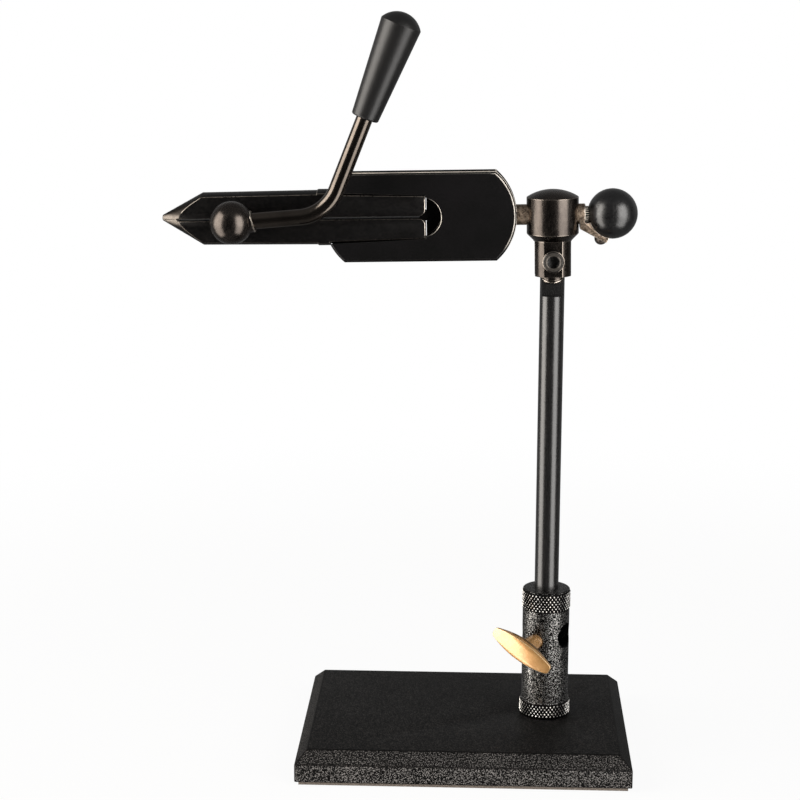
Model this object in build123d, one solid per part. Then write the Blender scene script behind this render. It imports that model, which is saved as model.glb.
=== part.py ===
from build123d import *
import os
from math import cos, radians, sin, sqrt, tan

# A pedestal fly tying vise: a heavy base plate, a stem in a clamp socket, a tilting head block,
# a rotary shaft that carries a forked frame, and two sprung jaws opened by a cam lever.
# Millimetres. X runs from the jaws (minus) to the knob (plus), Y away from the tyer, Z up.
# The origin is the middle of the pad's underside.

# Clearances
running_fit = 0.04
thread_fit = 0.02
face_gap = 0.3
pivot_face_gap = 0.12
overshoot = 5.0

# Base plate and its pad
base_length = 130.0
base_depth = 98.0
base_height = 12.0
base_chamfer = 4.7
pad_thickness = 1.5
pad_inset = 1.5

# Stem and the height that it holds the head at
stem_x = 32.25
stem_diameter = 9.525
stem_foot_chamfer = 0.8
pivot_height = 198.8
shoulder_drop = 14.3
tongue_thickness = 5.0
stem_foot_clearance = 0.5

# Stem socket, its bolt and its washer
socket_height = 52.7
socket_diameter = 18.7
socket_foot_diameter = 20.0
socket_foot_height = 6.7
socket_crown_diameter = 19.0
socket_crown_height = 8.6
socket_edge_round = 0.9
socket_foot_chamfer = 0.3
socket_floor = 4.0
socket_spigot_diameter = 12.0
cross_hole_diameter = 10.4
cross_hole_azimuth = 63.0
cross_rise = 34.0
bolt_diameter = 6.0
bolt_head_diameter = 10.0
bolt_head_height = 4.0
bolt_hex = 4.0
bolt_hex_depth = 2.0
bolt_tip_clearance = 1.0
washer_diameter = 17.0
washer_thickness = 1.5
counterbore_gap = 0.4

# Brass thumbscrew
clamp_rise = 32.5
clamp_azimuth = 27.5
stud_diameter = 6.0
stud_tip_gap = 0.05
neck_length = 1.9
wing_length = 27.4
wing_width = 8.2
wing_end_width = 3.4
wing_end_round = 1.5
wing_thickness = 11.4
wing_rim = 0.8
wing_crown = 0.8
wing_root_diameter = 6.4
wing_waist_diameter = 6.6
wing_waist_length = 7.8
wing_turn = -26.5

# Head block, its pivot and its drag screw
head_tilt = 1.2
axis_rise = 17.2
block_diameter = 20.0
block_drop = 7.3
block_shoulder_rise = 6.7
block_dome = 2.95
fork_diameter = 14.95
fork_drop = 6.45
fork_lip_diameter = 9.3
fork_lip_length = 2.65
fork_lip_chamfer = 0.5
fork_flat_depth = 0.87
pivot_screw_diameter = 5.0
pivot_head_diameter = 8.2
pivot_head_height = 3.5
pivot_head_chamfer = 0.5
pivot_hex = 4.0
pivot_hex_depth = 2.0
pivot_hole_gap = 0.15
drag_diameter = 6.0
drag_recess = 0.8
drag_screw_length = 3.0
drag_hex = 3.0
drag_hex_depth = 1.6
drag_side_gap = 0.15
drag_groove_depth = 0.45

# Rotary shaft, its tail and the rear ball
shaft_diameter = 7.94
shaft_stub = 2.5
shaft_end_chamfer = 0.25
frame_spigot_diameter = 6.0
frame_spigot_length = 16.0
knob_spigot_diameter = 6.2
knob_spigot_length = 11.6
knob_teeth = 20
knob_tooth_depth = 0.45
knob_tooth_length = 1.37
ball_diameter = 19.3
ball_flat_diameter = 6.8
ball_seat_gap = 0.05
tail_width = 7.0
tail_wall = 1.2
tail_drop = 3.2
tail_angle = 29.0
tail_toe = 2.4
knob_screw_angle = 25.0
knob_seat_wall = 0.75
knob_spot_gap = 0.15
knob_screw_diameter = 3.0
knob_screw_head = 5.0
knob_screw_head_height = 2.6
knob_screw_grip = 4.6

# Head frame
frame_thickness = 9.525
frame_height = 34.4
frame_block_gap = 3.75
frame_length = 74.3
frame_end_radius = 22.8
frame_edge_break = 0.8
frame_seat_depth = 0.4
slot_setback = 28.97
slot_end_radius = 7.6
slot_web = 2.4
frame_screw_diameter = 4.0
frame_screw_length = 8.0
frame_screw_setback = 11.5
frame_screw_hex = 2.0
frame_screw_hex_depth = 2.0

# Jaws
jaw_thickness = 10.0
nose_length = 15.9
jaw_tip_radius = 1.03
jaw_tip_rise = 0.56
jaw_front_radius = 10.12
jaw_back_radius = 10.5
jaw_body_length = 44.5
collar_length = 4.63
collar_radius = 10.85
collar_gap = 0.35
shank_front_radius = 10.2
shank_rear_radius = 9.45
jaw_rear_gap = 6.18
jaw_rear_round = 2.5
jaw_slit = 0.95
jaw_grip_length = 6.3
jaw_grip_gap = 0.04
slot_clearance = 0.12
mouth_clearance = 0.62

# Cam and lever
cam_setback = 12.47
cam_half_length = 4.3
cam_half_height = 3.0
cam_notch_gap = 0.1
cam_notch_end_gap = 0.35
cam_journal_diameter = 5.9
cam_far_length = 3.0
cam_washer_diameter = 13.0
cam_washer_thickness = 1.0
clip_diameter = 9.0
clip_thickness = 0.8
clip_groove_diameter = 4.9
clip_mouth = 3.4
lever_ball_diameter = 16.5
lever_ball_gap = 0.5
lever_boss_diameter = 8.4
lever_boss_reach = 8.4
lever_boss_tilt = 10.0
lever_boss_chamfer = 0.35
rod_diameter = 6.35
rod_depth_in_ball = 5.0
rod_slope = 3.9
rod_reach = 36.56
rod_bend_radius = 17.0
rod_lean = 22.6
rod_rise = 39.4
rod_depth_in_grip = 26.0
grip_small_diameter = 10.5
grip_large_diameter = 15.7
grip_length = 37.3
grip_dome = 4.5
grip_mouth_round = 0.8

# Heights and radii that follow from the sizes above
plate_top = pad_thickness + base_height
socket_top = plate_top + socket_height
bolt_seat = pad_thickness + bolt_head_height
washer_seat = bolt_seat + washer_thickness
spigot_end = washer_seat + face_gap
bore_floor = plate_top + socket_floor
stem_foot = bore_floor + stem_foot_clearance
clamp_height = plate_top + clamp_rise
cross_height = plate_top + cross_rise
stem_radius = stem_diameter / 2
socket_radius = socket_diameter / 2
block_radius = block_diameter / 2
fork_radius = fork_diameter / 2
block_top = block_shoulder_rise + block_dome
taper_bottom = -block_drop - (block_radius - fork_radius)
shaft_radius = shaft_diameter / 2
ball_radius = ball_diameter / 2
knob_seat = ball_radius + knob_seat_wall
shaft_end = block_radius + shaft_stub
tail_front = block_radius + face_gap
ball_flat_x = shaft_end + knob_tooth_length
ball_x = ball_flat_x + sqrt(ball_radius ** 2 - (ball_flat_diameter / 2) ** 2)
frame_rear = -block_radius - frame_block_gap
frame_front = frame_rear - frame_length
slot_end = frame_rear - slot_setback
jaw_rear = slot_end - jaw_rear_gap
mouth_radius = shank_front_radius + mouth_clearance
mouth_depth = frame_end_radius - sqrt(frame_end_radius ** 2 - mouth_radius ** 2)
collar_rear = frame_front + mouth_depth - collar_gap
collar_front = collar_rear - collar_length
jaw_shoulder = collar_front - jaw_body_length
jaw_tip = jaw_shoulder - nose_length
cam_x = jaw_shoulder + cam_setback
shaft_seat = frame_rear - frame_seat_depth
lever_ball_radius = lever_ball_diameter / 2
lever_y = -(jaw_thickness / 2 + lever_ball_gap + lever_ball_radius)
cam_washer_y = jaw_thickness / 2 + face_gap
cam_near_end = lever_y + rod_diameter / 2 + face_gap
clip_y = cam_washer_y + cam_washer_thickness
centred_floor = (Align.CENTER, Align.CENTER, Align.MIN)

# Places: the socket's axis, the clamp screw, the head at its pivot and the rotary axis
stem_place = Pos(stem_x, 0, 0)
clamp_place = Pos(0, 0, clamp_height) * Rot(0, 0, -clamp_azimuth) * Rot(90, 0, 0)
cross_place = Pos(0, 0, cross_height) * Rot(0, 0, cross_hole_azimuth) * Rot(90, 0, 0)
head_place = Pos(stem_x, 0, pivot_height) * Rot(0, -head_tilt, 0) * Pos(0, 0, axis_rise)
pivot_place = Pos(0, 0, -axis_rise)
cam_place = Pos(cam_x, 0, 0)
knob_screw_place = Pos(ball_x, 0, 0) * Rot(0, knob_screw_angle - 180, 0)


# Shapes that many pieces share
def rod_z(radius, start, end):
    return Pos(0, 0, start) * Cylinder(radius, end - start, align=centred_floor)


def rod_x(radius, start, end):
    return Rot(0, 90, 0) * rod_z(radius, start, end)


def rod_y(radius, start, end):
    return Rot(-90, 0, 0) * rod_z(radius, start, end)


def block(x_range, y_range, z_range):
    spans = [x_range, y_range, z_range]
    middle = [(low + high) / 2 for low, high in spans]
    size = [high - low for low, high in spans]
    return Pos(*middle) * Box(*size)


def turned(corners, axis):
    # Corners are (distance along the axis, radius), from one end face to the other.
    outline = [(corners[0][0], 0), *corners, (corners[-1][0], 0)]
    if axis == Axis.X:
        points = [(along, 0, radius) for along, radius in outline]
    else:
        points = [(radius, 0, along) for along, radius in outline]
    return revolve(make_face(Polyline(*points, close=True)), axis)


def hex_hole(across_flats, depth):
    return extrude(RegularPolygon(across_flats / 2, 6, major_radius=False), depth)


def cap_radius(half_width, rise):
    return (half_width ** 2 + rise ** 2) / (2 * rise)


# Base
def base_plate():
    plate = Pos(0, 0, pad_thickness) * Box(base_length, base_depth, base_height, align=centred_floor)
    plate = chamfer(plate.faces().sort_by(Axis.Z)[-1].edges(), base_chamfer)
    plate -= stem_place * rod_z(socket_spigot_diameter / 2 + thread_fit, pad_thickness, plate_top)
    counterbore = rod_z(washer_diameter / 2 + counterbore_gap, pad_thickness, washer_seat)
    return plate - stem_place * counterbore


def base_pad():
    return Box(base_length - 2 * pad_inset, base_depth - 2 * pad_inset, pad_thickness, align=centred_floor)


def stem_socket():
    foot = rod_z(socket_foot_diameter / 2, plate_top, plate_top + socket_foot_height)
    foot = chamfer(foot.edges().sort_by(Axis.Z)[-1], socket_foot_chamfer)
    crown = rod_z(socket_crown_diameter / 2, socket_top - socket_crown_height, socket_top)
    crown = fillet(crown.edges().filter_by(GeomType.CIRCLE), socket_edge_round)
    body = foot + crown + rod_z(socket_radius, plate_top, socket_top - socket_edge_round)
    body += rod_z(socket_spigot_diameter / 2, spigot_end, plate_top)
    body -= rod_z(stem_radius + running_fit, bore_floor, socket_top)
    body -= rod_z(bolt_diameter / 2 + thread_fit, spigot_end, bore_floor - bolt_tip_clearance)
    body -= clamp_place * rod_z(stud_diameter / 2 + running_fit, 0, socket_foot_diameter)
    body -= cross_place * rod_z(cross_hole_diameter / 2, -socket_foot_diameter, socket_foot_diameter)
    return stem_place * body


def socket_bolt():
    tip = bore_floor - bolt_tip_clearance - face_gap
    bolt = rod_z(bolt_head_diameter / 2, pad_thickness, bolt_seat)
    bolt += rod_z(bolt_diameter / 2, bolt_seat, tip)
    return stem_place * (bolt - Pos(0, 0, pad_thickness) * hex_hole(bolt_hex, bolt_hex_depth))


def socket_washer():
    ring = rod_z(washer_diameter / 2, bolt_seat, washer_seat)
    return stem_place * (ring - rod_z(bolt_diameter / 2 + face_gap, bolt_seat, washer_seat))


# Thumbscrew, drawn along Z outward from the stem's axis
def thumbscrew():
    wing_back = socket_radius + neck_length
    wing_front = wing_back + wing_thickness
    half_length = wing_length / 2
    side_radius = cap_radius(half_length, (wing_width - wing_end_width) / 2)
    side = rod_z(side_radius, wing_back, wing_front)
    plan = block((-half_length, half_length), (-wing_width, wing_width), (wing_back, wing_front))
    for sign in (1, -1):
        plan &= Pos(0, sign * (wing_width / 2 - side_radius), 0) * side
    plan = fillet(plan.edges().filter_by(Axis.Z), wing_end_round)
    rim_back = wing_front - wing_crown - wing_rim
    depth = turned([(wing_back, wing_root_diameter / 2),
                    (wing_back + wing_waist_length, wing_waist_diameter / 2),
                    (rim_back, half_length + face_gap), (wing_front, half_length + face_gap)], Axis.Z)
    crown_radius = cap_radius(half_length, wing_crown)
    crown = Pos(0, 0, wing_front - crown_radius) * Rot(90, 0, 0) * Sphere(crown_radius)
    wing = Rot(0, 0, wing_turn) * (plan & depth & crown)
    stud = rod_z(stud_diameter / 2, stem_radius + stud_tip_gap, wing_back + wing_thickness / 2)
    return stem_place * clamp_place * (wing + stud)


# Stem
def stem():
    rod = rod_z(stem_radius, stem_foot, pivot_height + stem_radius)
    rod = chamfer(rod.edges().sort_by(Axis.Z)[0], stem_foot_chamfer)
    pivot = Pos(0, 0, pivot_height)
    wide = stem_diameter
    rod &= block((-wide, wide), (-wide, wide), (0, pivot_height)) + pivot * rod_y(stem_radius, -wide, wide)
    shoulder = pivot_height - shoulder_drop
    for sign in (1, -1):
        cheek = block((-wide, wide), (0, wide), (shoulder, pivot_height + wide))
        rod -= Pos(0, sign * (tongue_thickness + wide) / 2 - wide / 2, 0) * cheek
    rod -= pivot * rod_y(pivot_screw_diameter / 2 + running_fit, -wide, wide)
    return stem_place * rod


# Head block, drawn about the rotary axis
def head_block():
    dome_radius = cap_radius(block_radius, block_dome)
    drum = rod_z(block_radius, -block_drop, block_top)
    drum &= Pos(0, 0, block_top - dome_radius) * Sphere(dome_radius)
    body = drum + fork()
    wide = block_diameter
    body -= pivot_place * rod_y(pivot_screw_diameter / 2 + pivot_hole_gap, -wide, 0)
    body -= pivot_place * rod_y(pivot_screw_diameter / 2 + thread_fit, 0, wide)
    body -= rod_x(shaft_radius + running_fit, -wide, wide)
    return head_place * (body - rod_y(drag_diameter / 2 + thread_fit, 0, wide))


def fork():
    wide = block_diameter
    bottom = -axis_rise - fork_drop
    neck = turned([(bottom, fork_radius), (taper_bottom, fork_radius), (-block_drop, block_radius)], Axis.Z)
    flat_y = fork_flat_depth - fork_radius
    neck -= block((-wide, wide), (-wide, flat_y), (bottom - wide, taper_bottom))
    lip = rod_z(fork_lip_diameter / 2, bottom - fork_lip_length, bottom + overshoot)
    neck += chamfer(lip.edges().filter_by(GeomType.CIRCLE).sort_by(Axis.Z)[0], fork_lip_chamfer)
    half_slot = tongue_thickness / 2 + pivot_face_gap
    slot_top = taper_bottom - face_gap
    return neck - block((-wide, wide), (-half_slot, half_slot), (bottom - wide, slot_top))


def pivot_screw():
    seat = fork_flat_depth - fork_radius
    head_end = seat - pivot_head_height
    head = rod_y(pivot_head_diameter / 2, head_end, seat)
    head = chamfer(head.edges().filter_by(GeomType.CIRCLE).sort_by(Axis.Y)[0], pivot_head_chamfer)
    screw = head + rod_y(pivot_screw_diameter / 2, seat, fork_radius - fork_lip_chamfer)
    screw -= Pos(0, head_end, 0) * Rot(-90, 0, 0) * hex_hole(pivot_hex, pivot_hex_depth)
    return head_place * pivot_place * screw


def drag_screw():
    outer = block_radius - drag_recess
    screw = rod_y(drag_diameter / 2, outer - drag_screw_length, outer)
    return head_place * (screw - Pos(0, outer, 0) * Rot(90, 0, 0) * hex_hole(drag_hex, drag_hex_depth))


def drag_plug():
    tip = shaft_radius - drag_groove_depth + stud_tip_gap
    back = block_radius - drag_recess - drag_screw_length
    return head_place * rod_y(drag_diameter / 2, tip, back)


# Rotary shaft with its tail, and the ball that the tail carries
def rotary_shaft():
    bar = rod_x(shaft_radius, shaft_seat, shaft_end)
    bar = chamfer(bar.edges().filter_by(GeomType.CIRCLE).sort_by(Axis.X)[-1], shaft_end_chamfer)
    bar += rod_x(frame_spigot_diameter / 2, shaft_seat - frame_spigot_length, shaft_seat)
    groove_half = drag_diameter / 2 + drag_side_gap
    groove = rod_x(shaft_diameter, -groove_half, groove_half)
    bar -= groove - rod_x(shaft_radius - drag_groove_depth, -groove_half, groove_half)
    bar += tail()
    bar += knob_spigot()
    outer = ball_radius + tail_wall + overshoot
    hole = rod_z(knob_screw_diameter / 2 + face_gap, ball_radius - knob_screw_grip, outer)
    spot_face = rod_z(knob_screw_head / 2 + knob_spot_gap, knob_seat, outer)
    return head_place * (bar - knob_screw_place * (hole + spot_face))


def knob_spigot():
    tip_radius = knob_spigot_diameter / 2
    ring = []
    for tooth in range(2 * knob_teeth):
        radius = tip_radius - knob_tooth_depth * (tooth % 2)
        turn = radians(180 * tooth / knob_teeth)
        ring.append((shaft_end, radius * cos(turn), radius * sin(turn)))
    toothed = extrude(make_face(Polyline(*ring, close=True)), ball_flat_x - shaft_end, dir=(1, 0, 0))
    root = tip_radius - knob_tooth_depth
    return toothed + rod_x(root, ball_flat_x, shaft_end + knob_spigot_length)


def tail():
    # A wedge with a flat underside that hugs the ball from the shaft's end to just past the screw.
    under = ball_radius + tail_wall
    across = (cos(radians(tail_angle)), -sin(radians(tail_angle)))
    outward = (-sin(radians(tail_angle)), -cos(radians(tail_angle)))
    foot = (ball_x + under * outward[0], under * outward[1])
    run = (tail_front - foot[0]) / across[0]
    heel = (foot[0] + run * across[0], foot[1] + run * across[1])
    reach = under * tan(radians(tail_angle - knob_screw_angle)) + tail_toe
    toe = (foot[0] + reach * across[0], foot[1] + reach * across[1])
    toe_top = (toe[0] - ball_radius * outward[0], toe[1] - ball_radius * outward[1])
    outline = [(tail_front, 0), heel, toe, toe_top, (shaft_end, -tail_drop)]
    face = make_face(Polyline(*[(x, 0, z) for x, z in outline], close=True))
    wedge = extrude(face, tail_width / 2, dir=(0, 1, 0), both=True)
    return wedge - Pos(ball_x, 0, 0) * Sphere(ball_radius + ball_seat_gap)


def rear_ball():
    across = (-ball_radius, ball_radius)
    ball = Sphere(ball_radius) & block((ball_flat_x - ball_x, ball_radius), across, across)
    root = knob_spigot_diameter / 2 - knob_tooth_depth
    bore = rod_x(root + thread_fit, ball_flat_x, shaft_end + knob_spigot_length + face_gap)
    hole = rod_z(knob_screw_diameter / 2 + thread_fit, ball_radius - knob_screw_grip, ball_radius)
    return head_place * (Pos(ball_x, 0, 0) * ball - bore - knob_screw_place * hole)


def knob_screw():
    crown_radius = cap_radius(knob_screw_head / 2, knob_screw_head_height)
    head = rod_z(knob_screw_head / 2, knob_seat, knob_seat + knob_screw_head_height)
    head &= Pos(0, 0, knob_seat + knob_screw_head_height - crown_radius) * Sphere(crown_radius)
    shank = rod_z(knob_screw_diameter / 2, ball_radius - knob_screw_grip + face_gap, knob_seat)
    return head_place * knob_screw_place * (head + shank)


# Head frame
def head_frame():
    reach = frame_end_radius
    rear_centre = frame_rear - reach
    front_centre = frame_front + reach
    half = frame_thickness / 2
    ends = rod_y(reach, -half, half)
    plan = Pos(rear_centre, 0, 0) * ends + Pos(front_centre, 0, 0) * ends
    plan += block((front_centre, rear_centre), (-half, half), (-reach, reach))
    plan &= block((frame_front, frame_rear), (-half, half), (-frame_height / 2, frame_height / 2))
    rims = plan.faces().filter_by(Axis.Y).edges()
    plan = chamfer(rims, frame_edge_break)
    plan -= jaw_slot()
    plan -= rod_x(shaft_radius + thread_fit, shaft_seat, frame_rear + overshoot)
    spigot_end_x = shaft_seat - frame_spigot_length - face_gap
    plan -= rod_x(frame_spigot_diameter / 2 + thread_fit, spigot_end_x, shaft_seat)
    screw_hole = rod_z(frame_screw_diameter / 2 + thread_fit, -frame_height, 0)
    return head_place * (plan - Pos(frame_rear - frame_screw_setback, 0, 0) * screw_hole)


def jaw_slot():
    # A tapered bore that opens both faces, and a round-ended pocket behind it with a web at the back.
    run = jaw_rear - collar_rear
    flare = (mouth_radius - shank_rear_radius - slot_clearance) / run
    rear_bore = shank_rear_radius + slot_clearance
    mouth = frame_front - overshoot
    bore_end = jaw_rear + face_gap
    bore = turned([(mouth, rear_bore + flare * (jaw_rear - mouth)), (bore_end, rear_bore)], Axis.X)
    pocket = rod_y(slot_end_radius, -frame_thickness, frame_thickness / 2 - slot_web)
    return bore + Pos(slot_end - slot_end_radius, 0, 0) * pocket


def frame_screw():
    tip = -frame_spigot_diameter / 2 - thread_fit
    screw = rod_z(frame_screw_diameter / 2, tip - frame_screw_length, tip)
    screw -= Pos(0, 0, tip - frame_screw_length) * hex_hole(frame_screw_hex, frame_screw_hex_depth)
    return head_place * Pos(frame_rear - frame_screw_setback, 0, 0) * screw


# Jaws: one turned bar with two flats and a nose that leans up, slit along its middle
def jaw(side):
    bar = turned([(jaw_shoulder, jaw_front_radius), (collar_front, jaw_back_radius),
                  (collar_front, collar_radius), (collar_rear, collar_radius),
                  (collar_rear, shank_front_radius), (jaw_rear, shank_rear_radius)], Axis.X)
    tip = Plane((jaw_tip, 0, side * jaw_tip_rise), x_dir=(0, 1, 0), z_dir=(1, 0, 0))
    shoulder = Plane((jaw_shoulder, 0, 0), x_dir=(0, 1, 0), z_dir=(1, 0, 0))
    bar += loft([tip * Circle(jaw_tip_radius), shoulder * Circle(jaw_front_radius)])
    half = jaw_thickness / 2
    high = collar_radius + overshoot
    bar &= block((jaw_tip, jaw_rear), (-half, half), (jaw_slit / 2, high)) + block(
        (jaw_tip, jaw_tip + jaw_grip_length), (-half, half), (jaw_grip_gap / 2, high))
    heel = bar.edges().filter_by(Axis.Y).sort_by_distance((jaw_rear, 0, jaw_slit / 2))[0]
    bar = fillet(heel, jaw_rear_round)
    notch = cam_half_length + cam_notch_end_gap
    bar -= cam_place * block((-notch, notch), (-high, high), (-high, cam_half_height + cam_notch_gap))
    return head_place * (bar if side > 0 else Rot(180, 0, 0) * bar)


# Cam and lever, drawn about the cam's axis
def cam_shaft():
    near_end = -(jaw_thickness / 2 + face_gap)
    far_face = jaw_thickness / 2 + face_gap / 2
    oval = extrude(Ellipse(cam_half_length, cam_half_height), far_face - near_end)
    shaft = Pos(0, near_end, 0) * Rot(-90, 0, 0) * oval
    shaft += rod_y(cam_journal_diameter / 2, cam_near_end, cam_washer_y + cam_far_length)
    groove = rod_y(cam_half_length, clip_y, clip_y + clip_thickness + thread_fit)
    shaft -= groove - rod_y(clip_groove_diameter / 2, clip_y, clip_y + clip_thickness + thread_fit)
    return head_place * cam_place * shaft


def cam_washer():
    ring = rod_y(cam_washer_diameter / 2, cam_washer_y, clip_y)
    ring -= rod_y(cam_journal_diameter / 2 + running_fit, cam_washer_y, clip_y)
    return head_place * cam_place * ring


def cam_clip():
    ring = rod_y(clip_diameter / 2, clip_y, clip_y + clip_thickness)
    ring -= rod_y(clip_groove_diameter / 2 + thread_fit, clip_y, clip_y + clip_thickness)
    half = clip_mouth / 2
    ring -= block((-half, half), (0, clip_y + overshoot), (-clip_diameter, 0))
    return head_place * cam_place * ring


def lever_ball():
    wide = lever_boss_diameter
    boss = rod_x(wide / 2, 0, lever_boss_reach + wide)
    cut = block((-lever_boss_reach - wide, 0), (-wide, wide), (-wide, wide))
    boss &= Pos(lever_boss_reach, 0, 0) * Rot(0, -lever_boss_tilt, 0) * cut
    boss = chamfer(boss.edges().filter_by(GeomType.ELLIPSE), lever_boss_chamfer)
    boss -= rod_x(rod_diameter / 2 + thread_fit, rod_start(), lever_boss_reach + wide)
    hollow = rod_x(rod_diameter / 2 + thread_fit, rod_start(), lever_ball_diameter)
    ball = Sphere(lever_ball_radius) - Rot(0, -rod_slope, 0) * hollow
    bore = rod_y(cam_journal_diameter / 2 + thread_fit, cam_near_end - lever_y, lever_ball_radius)
    return head_place * cam_place * Pos(0, lever_y, 0) * (ball + Rot(0, -rod_slope, 0) * boss - bore)


def rod_start():
    return lever_boss_reach - rod_depth_in_ball + face_gap


def lever_points():
    along = (cos(radians(rod_slope)), sin(radians(rod_slope)))
    up = (sin(radians(rod_lean)), cos(radians(rod_lean)))
    corner = (rod_reach * along[0], rod_reach * along[1])
    mouth = (corner[0] + rod_rise * up[0], corner[1] + rod_rise * up[1])
    end = (mouth[0] + rod_depth_in_grip * up[0], mouth[1] + rod_depth_in_grip * up[1])
    start = (rod_start() * along[0], rod_start() * along[1])
    return start, corner, mouth, end


def lever_rod():
    start, corner, mouth, end = [(x, 0, z) for x, z in lever_points()]
    path = FilletPolyline(start, corner, end, radius=rod_bend_radius)
    section = Plane(start, z_dir=Vector(*corner) - Vector(*start)) * Circle(rod_diameter / 2)
    return head_place * cam_place * Pos(0, lever_y, 0) * sweep(section, path)


def lever_grip():
    mouth = lever_points()[2]
    dome_radius = cap_radius(grip_large_diameter / 2, grip_dome)
    body = turned([(0, grip_small_diameter / 2), (grip_length, grip_large_diameter / 2)], Axis.Z)
    body = fillet(body.edges().filter_by(GeomType.CIRCLE).sort_by(Axis.Z)[0], grip_mouth_round)
    wide = grip_large_diameter
    dome = Pos(0, 0, grip_length + grip_dome - dome_radius) * Sphere(dome_radius)
    body += dome & block((-wide, wide), (-wide, wide), (grip_length, grip_length + grip_dome))
    body -= rod_z(rod_diameter / 2 + thread_fit, 0, rod_depth_in_grip + face_gap)
    return head_place * cam_place * Pos(mouth[0], lever_y, mouth[1]) * Rot(0, rod_lean, 0) * body


nodes = {
    "base_plate": base_plate(),
    "base_pad": base_pad(),
    "stem_socket": stem_socket(),
    "socket_bolt": socket_bolt(),
    "socket_washer": socket_washer(),
    "thumbscrew": thumbscrew(),
    "stem": stem(),
    "head_block": head_block(),
    "pivot_screw": pivot_screw(),
    "drag_screw": drag_screw(),
    "drag_plug": drag_plug(),
    "rotary_shaft": rotary_shaft(),
    "rear_ball": rear_ball(),
    "knob_screw": knob_screw(),
    "head_frame": head_frame(),
    "frame_screw": frame_screw(),
    "upper_jaw": jaw(1),
    "lower_jaw": jaw(-1),
    "cam_shaft": cam_shaft(),
    "cam_washer": cam_washer(),
    "cam_clip": cam_clip(),
    "lever_ball": lever_ball(),
    "lever_rod": lever_rod(),
    "lever_grip": lever_grip(),
}

os.makedirs("parts", exist_ok=True)
for name, shape in nodes.items():
    export_step(shape, f"parts/{name}.step")
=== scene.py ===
import math
import bmesh
import bpy
from mathutils import Matrix, Vector


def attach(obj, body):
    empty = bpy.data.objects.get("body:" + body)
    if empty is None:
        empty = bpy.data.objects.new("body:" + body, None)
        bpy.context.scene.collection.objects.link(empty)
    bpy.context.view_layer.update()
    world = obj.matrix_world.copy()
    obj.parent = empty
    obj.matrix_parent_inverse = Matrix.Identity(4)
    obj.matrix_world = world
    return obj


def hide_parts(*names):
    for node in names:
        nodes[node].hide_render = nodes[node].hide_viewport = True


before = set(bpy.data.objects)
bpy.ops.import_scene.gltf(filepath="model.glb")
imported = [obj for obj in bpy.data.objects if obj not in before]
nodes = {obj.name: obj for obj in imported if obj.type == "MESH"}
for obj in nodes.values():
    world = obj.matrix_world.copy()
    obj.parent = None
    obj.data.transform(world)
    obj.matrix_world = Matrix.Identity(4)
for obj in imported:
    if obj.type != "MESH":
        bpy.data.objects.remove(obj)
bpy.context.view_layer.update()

bpy.context.scene.view_settings.view_transform = "Standard"
print("frame loaded:", len(nodes), "nodes")


# one socket of a node tree; sums on it add Math nodes, node() adds any other
class Sock:
    def __init__(self, tree, socket=None):
        self.tree = tree
        self.socket = socket

    def node(self, kind, settings=None, values=None, out=0):
        made = self.tree.nodes.new(kind)
        for key, value in (settings or {}).items():
            setattr(made, key, value)
        for key, value in (values or {}).items():
            if isinstance(value, Sock):
                self.tree.links.new(value.socket, made.inputs[key])
            elif isinstance(value, tuple) and len(value) == 3 and len(made.inputs[key].default_value) == 4:
                made.inputs[key].default_value = (*value, 1.0)
            else:
                made.inputs[key].default_value = value
        return Sock(self.tree, made.outputs[out] if len(made.outputs) else None)

    def of(self, out):
        return Sock(self.tree, self.socket.node.outputs[out])

    def sum(self, operation, first, second=0.0, third=0.0):
        return self.node("ShaderNodeMath", {"operation": operation}, {0: first, 1: second, 2: third})

    def __add__(self, other): return self.sum("ADD", self, other)
    def __radd__(self, other): return self.sum("ADD", other, self)
    def __sub__(self, other): return self.sum("SUBTRACT", self, other)
    def __rsub__(self, other): return self.sum("SUBTRACT", other, self)
    def __mul__(self, other): return self.sum("MULTIPLY", self, other)
    def __truediv__(self, other): return self.sum("DIVIDE", self, other)
    def __mod__(self, other): return self.sum("FLOORED_MODULO", self, other)
    def __abs__(self): return self.sum("ABSOLUTE", self)

    # 0 below low, 1 above high, eased between
    def ease(self, low, high, start=0.0, end=1.0):
        return self.node("ShaderNodeMapRange", {"interpolation_type": "SMOOTHSTEP"},
                         {0: self, 1: low, 2: high, 3: start, 4: end})

    # this value picks between two colours
    def tint(self, low, high):
        return self.node("ShaderNodeMix", {"data_type": "RGBA"}, {0: self, 6: low, 7: high}, 2)

    # distance along a direction
    def along(self, direction):
        return self.node("ShaderNodeVectorMath", {"operation": "DOT_PRODUCT"},
                         {0: self, 1: direction}, "Value")

    def moved(self, scale=(1, 1, 1), turn=(0, 0, 0), place=(0, 0, 0)):
        return self.node("ShaderNodeMapping", None,
                         {"Vector": self, "Location": place, "Rotation": turn, "Scale": scale})

    def noise(self, scale, detail=2.0, rough=0.5):
        return self.node("ShaderNodeTexNoise", None,
                         {"Vector": self, "Scale": scale, "Detail": detail, "Roughness": rough})

    # distance in mm from an axis through a point; keep zeroes the axis's own direction
    def reachFrom(self, point, keep):
        flat = self.moved(keep, (0, 0, 0), tuple(-p * k for p, k in zip(point, keep)))
        return self.node("ShaderNodeVectorMath", {"operation": "LENGTH"}, {0: flat}, "Value") * 1000.0

    def relief(self, depth, strength=1.0):
        return self.node("ShaderNodeBump", None, {"Strength": strength, "Distance": depth, "Height": self})


def mm(*values):
    return tuple(v / 1000.0 for v in values)


# sRGB 0-255 to the linear values that sockets take
def rgb(*values):
    return tuple((v / 255.0 / 12.92) if v <= 10 else ((v / 255.0 + 0.055) / 1.055) ** 2.4 for v in values)


# the part's own places in mm: the stem's axis, the head's pivot on it, the rotary axis above the pivot
stemX, pivotHeight, axisRise = 32.25, 198.8, 17.2
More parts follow.
